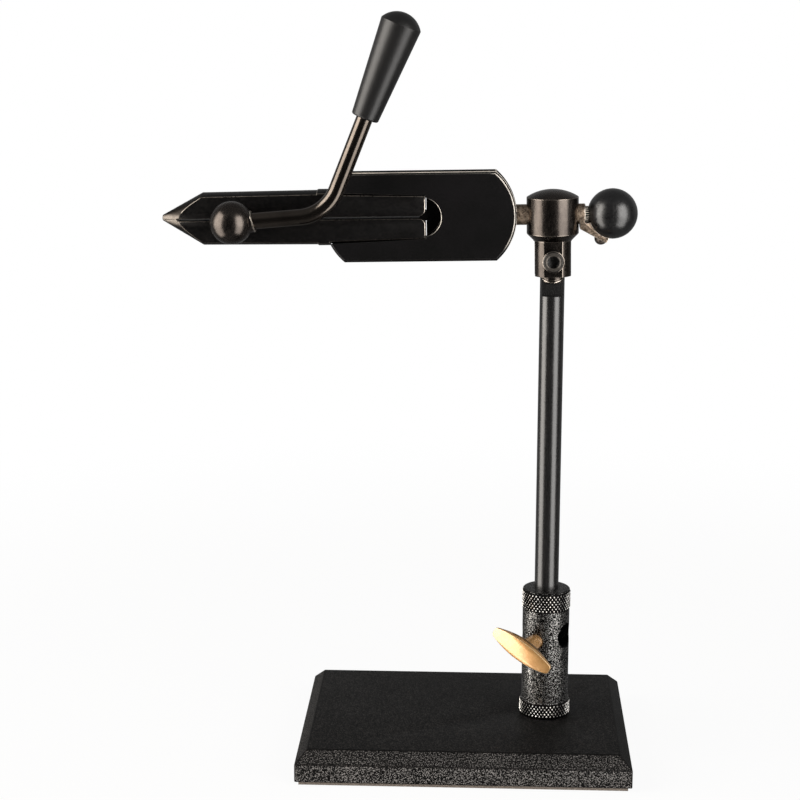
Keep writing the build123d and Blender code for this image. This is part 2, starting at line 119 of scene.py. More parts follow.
# and its angles in degrees: the head's tilt, and the clamp screw's turn to the left
headTilt, clampTurn = 1.2, 27.5

# the tilted head's own axes: along the rotary shaft, and up from it
headAlong = Vector((math.cos(math.radians(headTilt)), 0.0, math.sin(math.radians(headTilt))))
headUp = Vector((-headAlong.z, 0.0, headAlong.x))
headOrigin = Vector(mm(stemX, 0, pivotHeight)) + headUp * (axisRise / 1000)
# the clamp screw's axis, out to its wing
clampOut = Vector((-math.sin(math.radians(clampTurn)), -math.cos(math.radians(clampTurn)), 0.0))


def headPoint(s, y, t):
    return headOrigin + headAlong * (s / 1000) + Vector((0, y / 1000, 0)) + headUp * (t / 1000)


# a point of the surface, with its place along the rotary axis and above it in mm
def headPlace(start):
    place = objectPlace(start)
    s = place.along(headAlong) * 1000.0 - headOrigin.dot(headAlong) * 1000.0
    t = place.along(headUp) * 1000.0 - headOrigin.dot(headUp) * 1000.0
    return place, s, t


# the camera, fitted to the photo
photoCamera = {"place": mm(6.55, -785.39, 317.58), "yaw": -0.0422, "pitch": 0.2196, "roll": 0.0029,
               "lens": 92.18, "sensor": 36.0, "clip": (0.01, 50.0)}


def makeCamera(look):
    data = bpy.data.cameras.new("photoCamera")
    data.lens, data.sensor_width = look["lens"], look["sensor"]
    data.clip_start, data.clip_end = look["clip"]
    camera = bpy.data.objects.new("photoCamera", data)
    bpy.context.scene.collection.objects.link(camera)
    yaw, pitch, roll = look["yaw"], look["pitch"], look["roll"]
    ahead = Vector((math.sin(yaw) * math.cos(pitch), math.cos(yaw) * math.cos(pitch), -math.sin(pitch)))
    right = Vector((math.cos(yaw), -math.sin(yaw), 0.0))
    up = right.cross(ahead)
    across = right * math.cos(roll) + up * math.sin(roll)
    upward = up * math.cos(roll) - right * math.sin(roll)
    turn = Matrix((across, upward, -ahead)).transposed().to_4x4()
    camera.matrix_world = Matrix.Translation(look["place"]) @ turn
    bpy.context.scene.camera = camera


# two soft boxes that stand left and right of the camera; glow is their brightness, white being 1
softBoxes = {
    "leftBox": {"azimuth": -73.0, "distance": 0.95, "width": 0.78, "height": 1.05, "middle": 0.50,
                "glow": 4.8, "colour": (1.0, 0.95, 0.89)},
    "rightBox": {"azimuth": 48.0, "distance": 1.0, "width": 0.72, "height": 1.05, "middle": 0.50,
                 "glow": 4.1, "colour": (1.0, 0.975, 0.95)},
}


# an area lamp of 4 W per square metre has a glow of 1
wattsPerArea = 4.0


def makeLights(boxes):
    for name, look in boxes.items():
        data = bpy.data.lights.new(name, "AREA")
        data.shape = "RECTANGLE"
        data.size, data.size_y = look["width"], look["height"]
        data.energy = wattsPerArea * look["width"] * look["height"] * look["glow"]
        data.color = look["colour"]
        lamp = bpy.data.objects.new(name, data)
        bpy.context.scene.collection.objects.link(lamp)
        turn = math.radians(look["azimuth"])
        away = Vector((math.sin(turn), -math.cos(turn), 0.0)) * look["distance"]
        facing = (-away).to_track_quat("-Z", "Y").to_matrix().to_4x4()
        lamp.matrix_world = Matrix.Translation(away + Vector((0.0, 0.0, look["middle"]))) @ facing
        lamp.visible_camera = False


# what the object sees round it: a white sheet behind, a pale ceiling, a dim room on the camera's side
studioRoom = {"dim": 0.04, "ceiling": 0.17, "sheet": 0.20, "shine": 0.08,
              "behind": (0.0, 0.7), "above": (0.25, 0.85)}


# 1 for rays that come off a mirror or through glass
def mirrorRays(start, path):
    return start.sum("MAXIMUM", path.of("Is Glossy Ray"), path.of("Is Transmission Ray"))


def makeWorld(look):
    world = bpy.data.worlds.new("studioRoom")
    bpy.context.scene.world = world
    world.use_nodes = True
    world.node_tree.nodes.clear()
    start = Sock(world.node_tree)
    parts = start.node("ShaderNodeSeparateXYZ", None, {0: start.node("ShaderNodeTexCoord", out="Generated")})
    behind = parts.of("Y").ease(*look["behind"])
    above = parts.of("Z").ease(*look["above"])
    level = look["dim"] + above * (look["ceiling"] - look["dim"])
    level = level + behind * (1.0 - above) * (look["sheet"] - look["dim"])
    path = start.node("ShaderNodeLightPath")
    level = level + mirrorRays(start, path) * behind * (1.0 - above) * look["shine"]
    level = level + path.of("Is Camera Ray") * (1.0 - level)
    back = start.node("ShaderNodeBackground", None, {"Color": (1.0, 1.0, 1.0), "Strength": level})
    start.node("ShaderNodeOutputWorld", None, {"Surface": back})


# white paper: it keeps the shadow near the object, glows further out and mirrors the room in the metal
paperFloor = {"half": 3.0, "near": 0.20, "far": 0.55, "glow": 0.93, "shine": 0.72, "polish": 0.12,
              "white": rgb(236, 236, 236), "pale": rgb(240, 240, 240), "grain": (900.0, 3.0),
              "rough": 0.9, "gloss": 0.1}


def makeFloor(look):
    half = look["half"]
    mesh = bpy.data.meshes.new("paperFloor")
    corners = [(-half, -half, 0), (half, -half, 0), (half, half, 0), (-half, half, 0)]
    mesh.from_pydata(corners, [], [(0, 1, 2, 3)])
    floor = bpy.data.objects.new("paperFloor", mesh)
    bpy.context.scene.collection.objects.link(floor)
    material, start = newMaterial("paperWhite")
    place = objectPlace(start)
    away = start.node("ShaderNodeVectorMath", {"operation": "LENGTH"}, {0: place}, "Value")
    plain = away.ease(look["near"], look["far"])
    path = start.node("ShaderNodeLightPath")
    grain = place.noise(*look["grain"])
    paper = start.node("ShaderNodeBsdfPrincipled", None, {
        "Base Color": grain.tint(look["white"], look["pale"]),
        "Roughness": look["rough"], "Specular IOR Level": look["gloss"]})
    glow = start.node("ShaderNodeEmission", None, {"Color": (1.0, 1.0, 1.0), "Strength": 1.0})
    share = path.of("Is Camera Ray") * (look["glow"] + plain * (1.0 - look["glow"]))
    both = start.node("ShaderNodeMixShader", None, {0: share, 1: paper, 2: glow})
    polish = start.node("ShaderNodeBsdfGlossy", None, {
        "Color": (look["shine"],) * 3, "Roughness": look["polish"]})
    both = start.node("ShaderNodeMixShader", None, {0: mirrorRays(start, path), 1: both, 2: polish})
    start.node("ShaderNodeOutputMaterial", None, {"Surface": both})
    mesh.materials.append(material)


def newMaterial(name):
    material = bpy.data.materials.new(name)
    material.use_nodes = True
    material.node_tree.nodes.clear()
    return material, Sock(material.node_tree)


def closeMaterial(start, values):
    surface = start.node("ShaderNodeBsdfPrincipled", None, values)
    start.node("ShaderNodeOutputMaterial", None, {"Surface": surface})


def objectPlace(start):
    return start.node("ShaderNodeTexCoord", out="Object")


def facingOf(start):
    return start.node("ShaderNodeTexCoord", out="Normal")


# where most of a noise lies
midNoise = (0.3, 0.7)
# the same for two or three noises laid over each other
midTone = (0.35, 0.65)
# detail of a plain noise, and detail and roughness of a fine grain and of a slow drift
plainDetail, grainDetail, driftDetail = 1.0, (2.0, 0.6), (3.0, 0.6)


# coarse sprayed coat: a pebbled skin whose paler tips are painted glints of the lamps, most on the upright faces,
# fewer on the chamfers, the top and the faces turned left or right
powderCoat = {"dark": rgb(5, 5, 5), "pale": rgb(190, 186, 183), "side": 0.46, "chamfer": 0.26, "top": 0.065,
              "chamferFrom": (0.3, 0.65), "topFrom": (0.75, 0.95),
              "shade": 0.85, "lit": 0.45, "asideFrom": (0.3, 0.6),
              "pebble": 2250.0, "fine": 4000.0, "share": 0.72, "cloud": 60.0, "drift": 0.05, "tip": (0.55, 0.615),
              "depth": 0.0001, "rough": (0.45, 0.62), "gloss": 0.12}
# the same coat on the plate's broken edges, with dimmer painted glints
powderEdge = {**powderCoat, "pale": rgb(106, 102, 99)}


def makePowderCoat(name, look):
    material, start = newMaterial(name)
    place, facing = objectPlace(start), facingOf(start)
    pebble = place.noise(look["pebble"], plainDetail)
    fine = place.noise(look["fine"], plainDetail)
    height = pebble * look["share"] + fine * (1.0 - look["share"])
    up = facing.along((0, 0, 1))
    paintedGlintShare = up.ease(*look["chamferFrom"], look["side"], look["chamfer"])
    paintedGlintShare = paintedGlintShare + up.ease(*look["topFrom"]) * (look["top"] - look["chamfer"])
    paintedGlintShare = paintedGlintShare * (1.0 - facing.along((1, 0, 0)).ease(*look["asideFrom"]) * look["shade"])
    paintedGlintShare = paintedGlintShare * (1.0 - facing.along((-1, 0, 0)).ease(*look["asideFrom"]) * look["lit"])
    # painted glints: pale pebble tips where the lamps would sparkle, set by which way the face looks
    paintedGlintTips = (height + place.noise(look["cloud"]) * look["drift"]).ease(*look["tip"]) * paintedGlintShare
    closeMaterial(start, {
        "Base Color": paintedGlintTips.tint(look["dark"], look["pale"]),
        "Roughness": fine.ease(*midNoise, *look["rough"]),
        "Specular IOR Level": look["gloss"],
        "Normal": height.relief(look["depth"])})
    return material


# felt pad under the base, its fibres lying flat
feltPad = {"dark": rgb(107, 98, 91), "pale": rgb(160, 149, 139), "fibre": (2600.0, 3.0, 0.65),
           "lie": (1.0, 1.0, 2.4), "depth": 0.0002, "rough": 0.95, "gloss": 0.15, "sheen": 0.2}


def makeFelt(look):
    material, start = newMaterial("feltPad")
    fibre = objectPlace(start).moved(look["lie"]).noise(*look["fibre"])
    closeMaterial(start, {
        "Base Color": fibre.ease(*midNoise).tint(look["dark"], look["pale"]),
        "Roughness": look["rough"], "Specular IOR Level": look["gloss"], "Sheen Weight": look["sheen"],
        "Normal": fibre.relief(look["depth"])})
    return material


# silver-flecked black of the socket, with painted shade darkening it inside its holes
flecked = {"dark": rgb(9, 9, 9), "pale": rgb(158, 157, 155), "cell": 2450.0, "finer": 2.3, "share": 0.7,
           "fleck": (0.52, 0.60), "depth": 0.00008, "rough": (0.32, 0.5),
           "axis": mm(stemX, 0, 0), "boreEnd": (8.9, 9.2), "boreTop": (56.0, 57.0), "boreShadeLevel": 0.92}


def makeFlecked(look):
    material, start = newMaterial("flecked")
    place = objectPlace(start)
    fine = place.noise(look["cell"] * look["finer"], plainDetail)
    height = place.noise(look["cell"], plainDetail) * look["share"] + fine * (1.0 - look["share"])
    # painted shade inside the socket's bore, up to the bore's top
    boreShade = 1.0 - place.reachFrom(look["axis"], (1, 1, 0)).ease(*look["boreEnd"])
    boreShade = boreShade * (1.0 - place.along((0, 0, 1000.0)).ease(*look["boreTop"]))
    fleck = height.ease(*look["fleck"]) * (1.0 - boreShade * look["boreShadeLevel"])
    closeMaterial(start, {
        "Base Color": fleck.tint(look["dark"], look["pale"]),
        "Metallic": 1.0,
        "Roughness": fine.ease(*midNoise, *look["rough"]),
        "Normal": height.relief(look["depth"])})
    return material


# plated, oiled or bare metal: colour drifts between two tones, with fine turning marks
metalNoise = {"drift": 90.0, "speck": 3200.0, "tones": (0.5, 0.35, 0.15), "skin": (0.6, 0.4)}
# clear lacquer, where a metal has one
lacquer = {"Coat IOR": 1.75, "Coat Roughness": 0.14}


def makeMetal(name, look):
    material, start = newMaterial(name)
    place = objectPlace(start)
    drift = place.noise(look.get("drift", metalNoise["drift"]), *driftDetail)
    marks = place.moved(look.get("marks", (1, 1, 1))).noise(look["grain"], *grainDetail)
    speck = place.noise(metalNoise["speck"], plainDetail)
    byDrift, byMarks, bySpeck = metalNoise["tones"]
    tone = drift * byDrift + marks * byMarks + speck * bySpeck
    byMarks, bySpeck = metalNoise["skin"]
    skin = marks * byMarks + speck * bySpeck
    colour = tone.ease(*midTone).tint(look["dark"], look["pale"])
    if "back" in look:
        out = (place.along(clampOut) - clampOut.x * stemX / 1000) * 1000.0
        back = out.ease(*look["backStart"]) * (1.0 - out.ease(*look["backEnd"]))
        colour = (1.0 - back * look["back"]).tint((0.0, 0.0, 0.0), colour)
    closeMaterial(start, {
        "Base Color": colour,
        "Coat Weight": look.get("coat", 0.0), **lacquer,
        "Metallic": look.get("metal", 1.0),
        "Roughness": skin.ease(*midNoise, *look["rough"]),
        "Specular IOR Level": look.get("gloss", 0.5),
        "Normal": skin.relief(look["depth"])})
    return material


metalLooks = {
    "stemBlack": {"dark": rgb(12, 12, 12), "pale": rgb(18, 17, 17), "metal": 0.0, "gloss": 1.0,
                  "grain": 1400.0, "marks": (1, 1, 0.06), "rough": (0.24, 0.32), "depth": 0.000003},
    "blackNickel": {"dark": rgb(66, 61, 58), "pale": rgb(86, 80, 75), "grain": 1500.0, "marks": (1, 1, 0.25),
                    "rough": (0.22, 0.30), "depth": 0.000002},
    "rodNickel": {"dark": rgb(82, 76, 70), "pale": rgb(100, 92, 85), "grain": 1500.0,
                  "rough": (0.15, 0.20), "depth": 0.0000008},
    "screwBronze": {"dark": rgb(84, 77, 72), "pale": rgb(132, 122, 114), "grain": 1600.0,
                    "rough": (0.34, 0.44), "depth": 0.000003},
    "zincSteel": {"dark": rgb(140, 140, 142), "pale": rgb(182, 182, 184), "grain": 1500.0,
                  "rough": (0.28, 0.42), "depth": 0.00001},
    "blackOxide": {"dark": rgb(26, 24, 23), "pale": rgb(46, 41, 37), "metal": 0.6, "grain": 1700.0,
                   "rough": (0.34, 0.5), "depth": 0.00002},
    # pale metal for chamfers and fine rims: part wear, part painted highlight
    "wornEdgeAndHighlight": {"dark": rgb(205, 194, 180), "pale": rgb(246, 238, 226), "drift": 160.0, "grain": 1200.0,
                 "rough": (0.22, 0.36), "depth": 0.000004},
    "brass": {"dark": rgb(210, 154, 89), "pale": rgb(230, 178, 114), "metal": 0.62, "grain": 1400.0,
              "drift": 240.0, "rough": (0.20, 0.27), "depth": 0.0000015, "coat": 1.0,
              # the back of the wing, out along the clamp screw's axis, is in its own shade
              "back": 0.62, "backStart": (18.8, 19.1), "backEnd": (20.8, 21.1)},
    # paler brass of the wing's broken edges: a painted highlight line
    "brassEdge": {"dark": rgb(236, 200, 150), "pale": rgb(250, 226, 184), "metal": 0.7, "grain": 1400.0,
                  "drift": 300.0, "rough": (0.25, 0.35), "depth": 0.000001},
    # paler nickel of broken edges and rims: a painted highlight line
    "nickelEdge": {"dark": rgb(112, 105, 98), "pale": rgb(150, 141, 132), "grain": 1500.0,
                   "rough": (0.22, 0.3), "depth": 0.000002},
}

# moulded plastics and painted faces
plainLooks = {
    # black of the socket's band roots between the knurls: painted shade
    "knurlRootShade": {"dark": rgb(4, 4, 4), "pale": rgb(9, 9, 9), "grain": 2400.0, "rough": (0.6, 0.7),
                  "gloss": 0.1, "depth": 0.00001},
    "frameBlack": {"dark": rgb(9, 9, 9), "pale": rgb(13, 12, 13), "grain": 2400.0, "rough": (0.36, 0.44),
                   "gloss": 0.06, "depth": 0.000008},
    "ballBlack": {"dark": rgb(7, 7, 8), "pale": rgb(10, 10, 11), "grain": 900.0, "rough": (0.27, 0.34),
                  "gloss": 0.85, "depth": 0.000002},
    "gripBlack": {"dark": rgb(12, 12, 12), "pale": rgb(17, 16, 16), "grain": 2600.0, "rough": (0.36, 0.44),
                  "gloss": 0.55, "depth": 0.000006},
    "nylonWhite": {"dark": rgb(205, 203, 196), "pale": rgb(225, 223, 216), "grain": 1500.0,
                   "rough": (0.4, 0.5), "gloss": 0.5, "depth": 0.00001},
}


# slow drift of tone in paint and plastic
paintDrift = 70.0


def paintColour(place, grain, look):
    drift = place.noise(paintDrift)
    return (grain * 0.5 + drift * 0.5).ease(*midTone).tint(look["dark"], look["pale"])


def makePlain(name, look):
    material, start = newMaterial(name)
    place = objectPlace(start)
    grain = place.noise(look["grain"], *grainDetail)
    closeMaterial(start, {
        "Base Color": paintColour(place, grain, look),
        "Roughness": grain.ease(*midNoise, *look["rough"]),
        "Specular IOR Level": look["gloss"],
        "Normal": grain.relief(look["depth"])})
    return material


# closeness in metres at which corners join and slivers go, and the angle in degrees under which faces join
weld, sliver, flatAngle = 2e-6, 5e-6, 0.4
# angle in degrees over which an edge stays sharp
sharpFrom = {"edged": 32.0, "socket": 28.0, "ring": 30.0, "wire": 40.0, "tongue": 30.0}


# a node's shape with its split corners joined
def mergedCopy(node):
    shape = bmesh.new()
    shape.from_mesh(nodes[node].data)
    bmesh.ops.remove_doubles(shape, verts=shape.verts, dist=weld)
    return shape


def newPiece(name, shape, skins):
    mesh = bpy.data.meshes.new(name)
    shape.to_mesh(mesh)
    shape.free()
    for skin in skins:
        mesh.materials.append(skin)
    piece = bpy.data.objects.new(name, mesh)
    bpy.context.scene.collection.objects.link(piece)
    return piece


# the modifiers' result becomes the piece's own mesh
def settle(piece):
    graph = bpy.context.evaluated_depsgraph_get()
    mesh = bpy.data.meshes.new_from_object(piece.evaluated_get(graph))
    piece.modifiers.clear()
    piece.data = mesh
    return piece


def smoothed(piece, angle):
    piece.data.shade_smooth()
    piece.data.set_sharp_from_angle(angle=math.radians(angle))
    return piece


# a node's own shape with its sharp edges broken
def edgedCopy(name, look):
    shape = mergedCopy(look["node"])
    bmesh.ops.dissolve_degenerate(shape, dist=sliver, edges=shape.edges)
    bmesh.ops.dissolve_limit(shape, angle_limit=math.radians(flatAngle), use_dissolve_boundaries=False,
                             verts=shape.verts, edges=shape.edges, delimit=set())
    piece = newPiece(name, shape, [finishes[look["skin"]], finishes[look["edge"]]])
    bevel = piece.modifiers.new("brokenEdge", "BEVEL")
    bevel.width, bevel.segments = look["width"], look["segments"]
    bevel.limit_method, bevel.angle_limit = "ANGLE", math.radians(look["angle"])
    bevel.use_clamp_overlap = False
    bevel.material = 1
    smoothed(settle(piece), sharpFrom["edged"])
    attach(piece, look["body"])
    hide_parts(look["node"])


edgedPieces = {
    "basePlate": {"node": "base_plate", "body": "base", "width": 0.00045, "segments": 3, "angle": 30.0,
                  "skin": "powderCoat", "edge": "powderEdge", "slot": "powder_black"},
    "headFrame": {"node": "head_frame", "body": "rotor", "width": 0.00024, "segments": 3, "angle": 40.0,
                  "skin": "frameFace", "edge": "frameWearAndHighlight", "slot": "frame_black"},
    "upperJaw": {"node": "upper_jaw", "body": "upper_jaw", "width": 0.00022, "segments": 3, "angle": 40.0,
                 "skin": "jawBlack", "edge": "jawWearAndHighlight", "slot": "black_oxide"},
    "lowerJaw": {"node": "lower_jaw", "body": "lower_jaw", "width": 0.00022, "segments": 3, "angle": 40.0,
                 "skin": "jawBlack", "edge": "jawWearAndHighlight", "slot": "black_oxide"},
    "headBlock": {"node": "head_block", "body": "head", "width": 0.00018, "segments": 3, "angle": 25.0,
                  "skin": "blackNickel", "edge": "nickelEdge", "slot": "black_nickel"},
    "pivotScrew": {"node": "pivot_screw", "body": "head", "width": 0.00012, "segments": 2, "angle": 40.0,
                   "skin": "screwFace", "edge": "screwFace", "slot": "black_nickel"},
    "brassWing": {"node": "thumbscrew", "body": "thumbscrew", "width": 0.00018, "segments": 3, "angle": 35.0,
                  "skin": "brass", "edge": "brassEdge", "slot": "brass"},
    "rotaryShaft": {"node": "rotary_shaft", "body": "rotor", "width": 0.00016, "segments": 2, "angle": 40.0,
                    "skin": "shaftGrey", "edge": "shaftEdge", "slot": "plated_grey"},
}

# the jaws' flats stay black; their noses are ground, with fine teeth beside the split
jawLook = {"dark": rgb(7, 6, 6), "pale": rgb(18, 15, 14), "ground": rgb(36, 33, 31), "bright": rgb(104, 98, 92),
           "shoulder": -134.8, "noseFrom": (-0.2, 0.4), "flat": (4.93, 4.98), "split": (0.3, 3.0),
           "rear": (-53.0, -51.0), "rearFacing": (0.6, 0.9), "rearRough": 0.45,
           "tooth": 0.55, "toothEnd": (1.0, 1.6), "speck": (1500.0, 2.0, 0.65), "drift": 140.0, "brush": 2600.0,
           "mottle": (0.6, 0.4), "mottleFrom": (0.4, 0.7), "grind": (0.8, 0.3), "grindFrom": (0.1, 0.95),
           "stand": (0.5, 0.35), "oxide": 0.6, "rough": (0.34, 0.5), "depth": 0.00003}


def makeJawSkin(look):
    material, start = newMaterial("jawBlack")
    place, s, t = headPlace(start)
    nose = (look["shoulder"] - s).ease(*look["noseFrom"])
    nose = nose * (1.0 - abs(place.along((0, 1000.0, 0))).ease(*look["flat"]))
    near = 1.0 - abs(t).ease(*look["split"])
    rear = facingOf(start).along(headAlong).ease(*look["rearFacing"]) * s.ease(*look["rear"])
    speck = place.noise(*look["speck"])
    drift = place.noise(look["drift"], *driftDetail)
    bySpeck, byDrift = look["mottle"]
    oxide = (speck * bySpeck + drift * byDrift).ease(*look["mottleFrom"]).tint(look["dark"], look["pale"])
    bySplit, byBrush = look["grind"]
    ground = (near * bySplit + place.noise(look["brush"]) * byBrush).ease(*look["grindFrom"])
    ground = ground.tint(look["ground"], look["bright"])
    speckStand, toothStand = look["stand"]
    teeth = start.sum("SINE", s * (2.0 * math.pi / look["tooth"])) * (1.0 - abs(t).ease(*look["toothEnd"])) * nose
    closeMaterial(start, {
        "Base Color": nose.tint(oxide, ground),
        "Metallic": nose * (1.0 - look["oxide"]) + look["oxide"] - rear * look["oxide"],
        "Roughness": speck.ease(*midNoise, *look["rough"]) + rear * look["rearRough"],
        "Normal": (speck * speckStand + teeth * toothStand).relief(look["depth"])})
    return material


# the frame's edges: pale where they face up or back and round the pocket, a painted highlight over patchy wear;
# painted shade where they face down or line the slot
frameWearAndHighlight = {"dull": rgb(14, 13, 13), "bright": rgb(246, 238, 226), "metal": 0.3, "rough": (0.3, 0.42),
             "rise": (-14.0, -9.0), "riseFrom": (-60.0, -50.0), "crest": (1.0, 3.0),
             "aside": (0.72, 0.86), "arc": (-24.0, -21.0), "arcShare": 0.6,
             "slot": (-47.6, -45.6), "slotHalf": (10.0, 11.0), "slotShadeLevel": 0.85,
             "pocket": (-42.0, -41.6), "pocketSide": (4.0, 6.5), "pocketDull": 0.8}
# the jaws' edges: a painted highlight line at their rear ends, and a fainter painted highlight on edges that face
# up
jawWearAndHighlight = {"dull": rgb(34, 31, 29), "bright": rgb(226, 216, 204), "rough": (0.25, 0.4), "share": 0.30,
           "rear": (-51.5, -50.5), "inner": (1.2, 2.6), "outer": (6.6, 7.2), "lift": (-0.1, 0.4), "least": 0.3}
# both break up in patches
wearAndHighlightNoise = {"grain": 1200.0, "drift": (180.0, 3.0), "patch": (0.25, 0.6), "patchLevel": (0.6, 1.0),
             "depth": 0.000004}


def closeWear(start, look, place, wearAndHighlight):
    grain = place.noise(wearAndHighlightNoise["grain"])
    patch = place.noise(*wearAndHighlightNoise["drift"]).ease(*wearAndHighlightNoise["patch"], *wearAndHighlightNoise["patchLevel"])
    closeMaterial(start, {
        "Base Color": (wearAndHighlight * patch).tint(look["dull"], look["bright"]),
        "Metallic": look.get("metal", 1.0),
        "Roughness": grain.ease(*midNoise, *look["rough"]),
        "Normal": grain.relief(wearAndHighlightNoise["depth"])})


def makeFrameWear(look):
    material, start = newMaterial("frameWearAndHighlight")
    place, s, t = headPlace(start)
    # painted highlight on the upper edges and down the rear arc
    up = start.sum("MAXIMUM", t.ease(*look["rise"]) * s.ease(*look["riseFrom"]), t.ease(*look["crest"]))
    aside = abs(facingOf(start).along((0, 1, 0)))
    up = up * (1.0 - aside.ease(*look["aside"]) * (1.0 - s.ease(*look["arc"]) * look["arcShare"]))
    level = 1.0 - abs(t).ease(*look["slotHalf"])
    behind = s.ease(*look["slot"])
    inSlot = (1.0 - behind) * level
    pocket = behind * (1.0 - s.ease(*look["pocket"])) * level
    # painted shade along the slot; the pocket's rim keeps a painted highlight
    wearAndHighlight = start.sum("MAXIMUM", up, pocket) * (1.0 - inSlot * look["slotShadeLevel"])
    wearAndHighlight = wearAndHighlight * (1.0 - pocket * abs(t).ease(*look["pocketSide"]) * look["pocketDull"])
    closeWear(start, look, place, wearAndHighlight)
    return material


def makeJawWear(look):
    material, start = newMaterial("jawWearAndHighlight")
    place, s, t = headPlace(start)
    # painted highlight, stronger on edges that face up
    up = facingOf(start).along((0, 0, 1)).ease(*look["lift"], look["least"], 1.0)
    rear = s.ease(*look["rear"]) * abs(t).ease(*look["inner"]) * (1.0 - abs(t).ease(*look["outer"]))
    closeWear(start, look, place, start.sum("MAXIMUM", rear, up * look["share"]))
    return material


# the frame's black faces, with a painted highlight on the far edge of the rear rim and the near edge of the top
frameFace = {"dark": rgb(15, 15, 15), "pale": rgb(20, 19, 20), "rimHighlightColour": rgb(226, 216, 202), "rim": (0.3, 0.6),
             "arc": (-24.0, -21.0), "arcRise": (-2.0, 3.0), "far": (3.1, 3.4),
             "crest": (16.8, 17.0), "near": (-3.2, -2.6), "grain": 2400.0,
             "rough": (0.36, 0.44), "rimRough": 0.5, "gloss": 0.06, "depth": 0.000008}


def makeFrameFace(look):
    material, start = newMaterial("frameFace")
    place, s, t = headPlace(start)
    y = place.along((0, 1000.0, 0))
    grain = place.noise(look["grain"], *grainDetail)
    rim = 1.0 - abs(facingOf(start).along((0, 1, 0))).ease(*look["rim"])
    arc = s.ease(*look["arc"])
    # painted highlight lines along the rims
    rimHighlight = arc * t.ease(*look["arcRise"]) * y.ease(*look["far"])
    rimHighlight = rimHighlight + t.ease(*look["crest"]) * (1.0 - arc) * (1.0 - y.ease(*look["near"]))
    closeMaterial(start, {
        "Base Color": (rimHighlight * rim).tint(paintColour(place, grain, look), look["rimHighlightColour"]),
        "Roughness": grain.ease(*midNoise, *look["rough"]) + rim * look["rimRough"],
        "Specular IOR Level": look["gloss"],
        "Normal": grain.relief(look["depth"])})
    return material


# the rotary shaft: grainy plate; at its rear a painted highlight on the teeth and painted shade in the gaps
# between them
shaftGrey = {"dark": rgb(92, 80, 69), "pale": rgb(188, 168, 148), "tooth": rgb(240, 232, 218), "gapShade": rgb(3, 3, 3),
             "teethFrom": (12.42, 12.52), "teethEnd": (3.15, 3.3), "tip": (2.86, 2.98), "dull": 0.6,
             "drift": 700.0, "grain": 1800.0, "tones": (0.55, 0.45), "toneFrom": (0.36, 0.62),
             "rough": (0.32, 0.55), "depth": 0.00006}
# its broken edges are pale: part wear, part painted highlight
shaftEdge = {**shaftGrey, "dark": rgb(205, 194, 180), "pale": rgb(246, 238, 226), "depth": 0.000004}


def makeShaftSkin(name, look):
    material, start = newMaterial(name)
    place, s, t = headPlace(start)
    drift = place.noise(look["drift"], *driftDetail)
    grain = place.noise(look["grain"], *grainDetail)
    byDrift, byGrain = look["tones"]
    plate = (drift * byDrift + grain * byGrain).ease(*look["toneFrom"]).tint(look["dark"], look["pale"])
    y = place.along((0, 1000.0, 0))
    reach = start.sum("SQRT", y * y + t * t)
    # painted highlight on the teeth's tips, painted shade between them
    toothHighlightAndGapShade = reach.ease(*look["tip"]).tint(look["gapShade"], look["tooth"])
    behind = s.ease(*look["teethFrom"]) * (1.0 - reach.ease(*look["teethEnd"]))
    closeMaterial(start, {
        "Base Color": behind.tint(plate, toothHighlightAndGapShade),
        "Metallic": 1.0 - behind * look["dull"],
        "Roughness": grain.ease(*midNoise, *look["rough"]),
        "Normal": grain.relief(look["depth"])})
    return material


# the pivot screw's face, out from its middle: socket in painted shade, lip with painted highlights at the sides,
# grey band, groove in painted shade
screwFace = {"pivot": mm(stemX, 0, pivotHeight), "hole": rgb(12, 10, 9), "lip": rgb(132, 126, 120),
             "band": rgb(70, 66, 62), "groove": rgb(14, 13, 12), "holeEnd": (2.3, 2.45), "lipEnd": (2.85, 3.0),
             "bandEnd": (3.55, 3.7), "lipGlintSide": (0.45, 0.85), "lipGlintBreakup": (0.7, 1.0), "metal": 0.35,
             "grain": 1700.0, "rough": (0.26, 0.36), "depth": 0.000004}


def makeScrewFace(look):
    material, start = newMaterial("screwFace")
    place = objectPlace(start)
    grain = place.noise(look["grain"], *grainDetail)
    reach = place.reachFrom(look["pivot"], (1, 0, 1))
    aside = abs(place.along((1000.0, 0, 0)) - stemX) / reach
    wearAndHighlight = grain.ease(*midNoise, *look["lipGlintBreakup"])
    # painted highlights on the lip at left and right of the socket, broken up by the grain
    lip = (aside.ease(*look["lipGlintSide"]) * wearAndHighlight).tint(look["band"], look["lip"])
    colour = reach.ease(*look["holeEnd"]).tint(look["hole"], lip)
    colour = reach.ease(*look["lipEnd"]).tint(colour, look["band"])
    colour = reach.ease(*look["bandEnd"]).tint(colour, look["groove"])
    closeMaterial(start, {
        "Base Color": colour,
        "Metallic": look["metal"],
        "Roughness": grain.ease(*midNoise, *look["rough"]),
        "Normal": grain.relief(look["depth"])})
    return material


# knurled bands of the socket: rows of pointed diamonds, each row half a step on from the last
knurlBands = {
    "knurlFoot": {"radius": 9.75, "peak": 10.17, "low": 13.75, "high": 19.75,
                  "around": 42, "rows": 5, "fill": 0.77},
    "knurlCrown": {"radius": 9.28, "peak": 9.67, "low": 57.75, "high": 65.75,
                   "around": 40, "rows": 7, "fill": 0.77},
}
# one diamond: its flat tip's share, and how much its width and height stray
knurlDiamond = {"tip": 0.28, "least": 0.72, "most": 1.12, "seed": 7}


# knurl metal: black in the roots as painted shade, pale on the tips, part wear and part painted highlight; between
# tells foot from crown by height
knurlLook = {"dark": rgb(2, 2, 2), "pale": rgb(238, 236, 232), "tip": (0.13, 0.32), "tipWearAndHighlight": (0.55, 1.0),
             "between": (30.0, 40.0), "grain": 1900.0, "rough": (0.3, 0.42), "depth": 0.000004}


